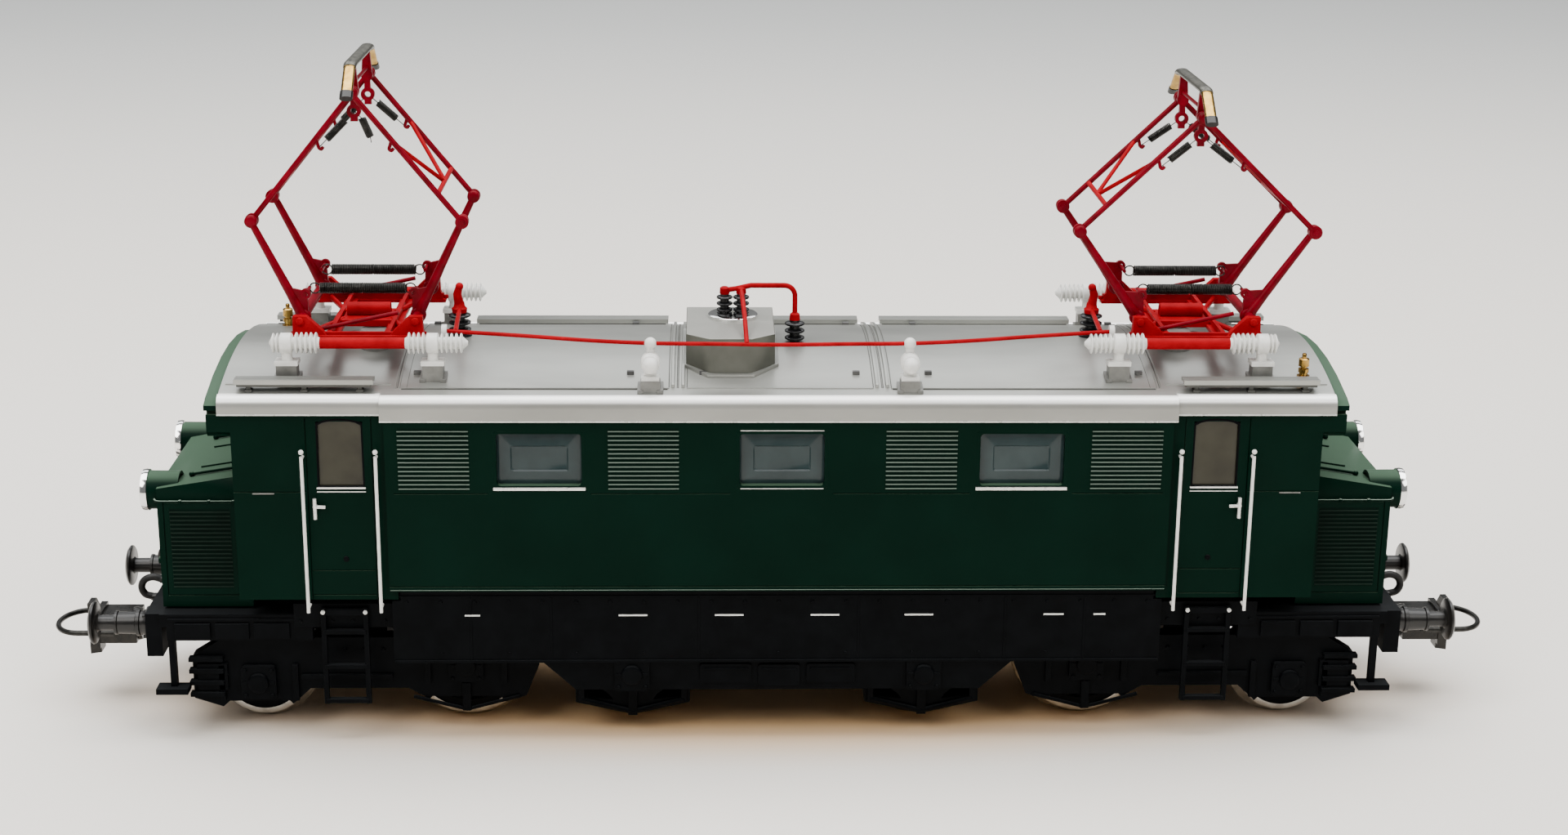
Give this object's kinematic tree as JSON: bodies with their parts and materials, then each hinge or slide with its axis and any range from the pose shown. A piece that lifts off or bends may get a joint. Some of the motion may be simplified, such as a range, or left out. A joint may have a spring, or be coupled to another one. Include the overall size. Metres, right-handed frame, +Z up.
{
  "type": "model electric locomotive",
  "caption": "Scale model electric locomotive with snout ends, silver roof, two folding scissor pantographs, swivelling bogies, turning wheelsets and loop couplers.",
  "frame": {"origin": "on the standing surface under the middle of the model, at the bottom of the wheel flanges", "axes": "+X along the locomotive towards cab 2, +Y across it away from the side with cab 1 on the left, +Z up"},
  "size_m": [0.1796, 0.036, 0.0806],
  "materials": {
    "body_green": "satin",
    "roof_silver": "satin",
    "frame_black": "satin",
    "die_cast": "satin",
    "wheel_metal": "polished tread",
    "motor_steel": "satin",
    "brass": "satin",
    "glazing": "clear",
    "clear_plastic": "clear",
    "board_green": "satin",
    "panto_red": "satin",
    "porcelain_white": "satin",
    "insulator_black": "satin",
    "wire_dark": "burnished"
  },
  "bodies": {
    "root": {"body_shell": "body_green", "roof_shell": "roof_silver", "side_glazing_front": "glazing", "side_glazing_rear": "glazing", "chassis_frame": "die_cast", "underframe": "frame_black", "motor": "motor_steel", "circuit_board": "board_green", "transformer_cover": "roof_silver", "bushing_pair": "insulator_black", "roof_conductor": "panto_red", "cab_1_glazing": "glazing", "headlight_guide_1": "clear_plastic", "buffer_1_front": "frame_black", "ladder_1_front": "frame_black", "pantograph_1_insulators_front": "porcelain_white", "buffer_1_rear": "frame_black", "ladder_1_rear": "frame_black", "pantograph_1_insulators_rear": "porcelain_white", "standoff_insulator_1": "porcelain_white", "disconnector_1": "insulator_black", "pantograph_1_base": "panto_red", "cab_2_glazing": "glazing", "headlight_guide_2": "clear_plastic", "buffer_2_front": "frame_black", "ladder_2_front": "frame_black", "pantograph_2_insulators_front": "porcelain_white", "buffer_2_rear": "frame_black", "ladder_2_rear": "frame_black", "pantograph_2_insulators_rear": "porcelain_white", "standoff_insulator_2": "porcelain_white", "disconnector_2": "insulator_black", "pantograph_2_base": "panto_red"},
    "bogie_1": {"bogie_1_frame": "frame_black"},
    "frame_wheelset_1_body": {"frame_wheelset_1": "wheel_metal"},
    "driven_wheelset_1_body": {"driven_wheelset_1": "wheel_metal"},
    "carrying_wheelset_1_body": {"carrying_wheelset_1": "wheel_metal"},
    "worm_1_body": {"worm_1": "brass"},
    "cardan_1_body": {"cardan_shaft_1": "insulator_black"},
    "coupler_1": {"coupler_head_1": "frame_black"},
    "coupler_loop_1_body": {"coupler_loop_1": "wire_dark"},
    "pantograph_1_lower_a": {"pantograph_1_lower_arm_a": "panto_red"},
    "pantograph_1_upper_a": {"pantograph_1_upper_arm_a": "panto_red"},
    "pantograph_1_lower_b": {"pantograph_1_lower_arm_b": "panto_red"},
    "pantograph_1_upper_b": {"pantograph_1_upper_arm_b": "panto_red"},
    "pantograph_1_pan": {"pantograph_1_head": "wire_dark"},
    "bogie_2": {"bogie_2_frame": "frame_black"},
    "frame_wheelset_2_body": {"frame_wheelset_2": "wheel_metal"},
    "driven_wheelset_2_body": {"driven_wheelset_2": "wheel_metal"},
    "carrying_wheelset_2_body": {"carrying_wheelset_2": "wheel_metal"},
    "worm_2_body": {"worm_2": "brass"},
    "cardan_2_body": {"cardan_shaft_2": "insulator_black"},
    "coupler_2": {"coupler_head_2": "frame_black"},
    "coupler_loop_2_body": {"coupler_loop_2": "wire_dark"},
    "pantograph_2_lower_a": {"pantograph_2_lower_arm_a": "panto_red"},
    "pantograph_2_upper_a": {"pantograph_2_upper_arm_a": "panto_red"},
    "pantograph_2_lower_b": {"pantograph_2_lower_arm_b": "panto_red"},
    "pantograph_2_upper_b": {"pantograph_2_upper_arm_b": "panto_red"},
    "pantograph_2_pan": {"pantograph_2_head": "wire_dark"},
    "rotor_body": {"motor_rotor": "brass"}
  },
  "joints": [
    {"name": "motor_spin", "type": "hinge", "parent": "root", "child": "rotor_body", "pos_m": [0, 0, 0.026], "axis": [1, 0, 0], "continuous": true},
    {"name": "bogie_1_swivel", "type": "hinge", "parent": "root", "child": "bogie_1", "pos_m": [-0.052, 0, 0.016], "axis": [0, 0, 1], "range_deg": [-6, 6]},
    {"name": "carrying_wheelset_1_spin", "type": "hinge", "parent": "bogie_1", "child": "carrying_wheelset_1_body", "pos_m": [-0.0625, 0, 0.0066], "axis": [0, 1, 0], "continuous": true},
    {"name": "driven_wheelset_1_spin", "type": "hinge", "parent": "bogie_1", "child": "driven_wheelset_1_body", "pos_m": [-0.0376, 0, 0.0087], "axis": [0, 1, 0], "continuous": true},
    {"name": "frame_wheelset_1_spin", "type": "hinge", "parent": "root", "child": "frame_wheelset_1_body", "pos_m": [-0.0175, 0, 0.0087], "axis": [0, 1, 0], "continuous": true},
    {"name": "worm_1_spin", "type": "hinge", "parent": "bogie_1", "child": "worm_1_body", "pos_m": [-0.043, 0, 0.026], "axis": [1, 0, 0], "continuous": true},
    {"name": "cardan_1_spin", "type": "hinge", "parent": "root", "child": "cardan_1_body", "pos_m": [-0.0306, 0, 0.026], "axis": [1, 0, 0], "continuous": true},
    {"name": "coupler_1_swing", "type": "hinge", "parent": "root", "child": "coupler_1", "pos_m": [-0.071, 0, 0.0093], "axis": [0, 0, 1], "range_deg": [-15, 15], "stiffness_Nm_per_rad": 0.002},
    {"name": "coupler_loop_1_lift", "type": "hinge", "parent": "coupler_1", "child": "coupler_loop_1_body", "pos_m": [-0.0815, 0, 0.0093], "axis": [0, 1, 0], "range_deg": [0, 25]},
    {"name": "pantograph_1_raise", "type": "hinge", "parent": "root", "child": "pantograph_1_lower_a", "pos_m": [-0.056, 0, 0.0507], "axis": [0, 1, 0], "range_deg": [-52, 8]},
    {"name": "pantograph_1_lower_b_turn", "type": "hinge", "parent": "root", "child": "pantograph_1_lower_b", "pos_m": [-0.0426, 0, 0.0507], "axis": [0, -1, 0], "range_deg": [-52, 8]},
    {"name": "pantograph_1_knee_a", "type": "hinge", "parent": "pantograph_1_lower_a", "child": "pantograph_1_upper_a", "pos_m": [-0.06152, 0, 0.06202], "axis": [0, -1, 0], "range_deg": [-92.8, 14.7]},
    {"name": "pantograph_1_knee_b", "type": "hinge", "parent": "pantograph_1_lower_b", "child": "pantograph_1_upper_b", "pos_m": [-0.03708, 0, 0.06202], "axis": [0, 1, 0], "range_deg": [-92.8, 14.7]},
    {"name": "pantograph_1_apex", "type": "hinge", "parent": "pantograph_1_upper_a", "child": "pantograph_1_pan", "pos_m": [-0.0493, 0, 0.07702], "axis": [0, 1, 0], "range_deg": [-40.8, 6.7]},
    {"name": "bogie_2_swivel", "type": "hinge", "parent": "root", "child": "bogie_2", "pos_m": [0.052, 0, 0.016], "axis": [0, 0, 1], "range_deg": [-6, 6]},
    {"name": "carrying_wheelset_2_spin", "type": "hinge", "parent": "bogie_2", "child": "carrying_wheelset_2_body", "pos_m": [0.0625, 0, 0.0066], "axis": [0, 1, 0], "continuous": true},
    {"name": "driven_wheelset_2_spin", "type": "hinge", "parent": "bogie_2", "child": "driven_wheelset_2_body", "pos_m": [0.0376, 0, 0.0087], "axis": [0, 1, 0], "continuous": true},
    {"name": "frame_wheelset_2_spin", "type": "hinge", "parent": "root", "child": "frame_wheelset_2_body", "pos_m": [0.0175, 0, 0.0087], "axis": [0, 1, 0], "continuous": true},
    {"name": "worm_2_spin", "type": "hinge", "parent": "bogie_2", "child": "worm_2_body", "pos_m": [0.043, 0, 0.026], "axis": [1, 0, 0], "continuous": true},
    {"name": "cardan_2_spin", "type": "hinge", "parent": "root", "child": "cardan_2_body", "pos_m": [0.0306, 0, 0.026], "axis": [1, 0, 0], "continuous": true},
    {"name": "coupler_2_swing", "type": "hinge", "parent": "root", "child": "coupler_2", "pos_m": [0.071, 0, 0.0093], "axis": [0, 0, 1], "range_deg": [-15, 15], "stiffness_Nm_per_rad": 0.002},
    {"name": "coupler_loop_2_lift", "type": "hinge", "parent": "coupler_2", "child": "coupler_loop_2_body", "pos_m": [0.0815, 0, 0.0093], "axis": [0, -1, 0], "range_deg": [0, 25]},
    {"name": "pantograph_2_raise", "type": "hinge", "parent": "root", "child": "pantograph_2_lower_a", "pos_m": [0.0426, 0, 0.0507], "axis": [0, 1, 0], "range_deg": [-43, 17]},
    {"name": "pantograph_2_lower_b_turn", "type": "hinge", "parent": "root", "child": "pantograph_2_lower_b", "pos_m": [0.056, 0, 0.0507], "axis": [0, -1, 0], "range_deg": [-43, 17]},
    {"name": "pantograph_2_knee_a", "type": "hinge", "parent": "pantograph_2_lower_a", "child": "pantograph_2_upper_a", "pos_m": [0.03537, 0, 0.06102], "axis": [0, -1, 0], "range_deg": [-77, 30.7]},
    {"name": "pantograph_2_knee_b", "type": "hinge", "parent": "pantograph_2_lower_b", "child": "pantograph_2_upper_b", "pos_m": [0.06323, 0, 0.06102], "axis": [0, 1, 0], "range_deg": [-77, 30.7]},
    {"name": "pantograph_2_apex", "type": "hinge", "parent": "pantograph_2_upper_a", "child": "pantograph_2_pan", "pos_m": [0.0493, 0, 0.07445], "axis": [0, 1, 0], "range_deg": [-34, 13.7]}
  ],
  "couplings": [
    {"joint": "cardan_1_spin", "follows": "motor_spin", "ratio": 1},
    {"joint": "worm_1_spin", "follows": "motor_spin", "ratio": 1},
    {"joint": "driven_wheelset_1_spin", "follows": "motor_spin", "ratio": 0.071429},
    {"joint": "pantograph_1_lower_b_turn", "follows": "pantograph_1_raise", "ratio": 1},
    {"joint": "pantograph_1_knee_a", "follows": "pantograph_1_raise", "ratio": 1.7749},
    {"joint": "pantograph_1_knee_b", "follows": "pantograph_1_raise", "ratio": 1.7749},
    {"joint": "pantograph_1_apex", "follows": "pantograph_1_raise", "ratio": 0.7749},
    {"joint": "cardan_2_spin", "follows": "motor_spin", "ratio": 1},
    {"joint": "worm_2_spin", "follows": "motor_spin", "ratio": 1},
    {"joint": "driven_wheelset_2_spin", "follows": "motor_spin", "ratio": 0.071429},
    {"joint": "pantograph_2_lower_b_turn", "follows": "pantograph_2_raise", "ratio": 1},
    {"joint": "pantograph_2_knee_a", "follows": "pantograph_2_raise", "ratio": 1.7783},
    {"joint": "pantograph_2_knee_b", "follows": "pantograph_2_raise", "ratio": 1.7783},
    {"joint": "pantograph_2_apex", "follows": "pantograph_2_raise", "ratio": 0.7783}
  ]
}
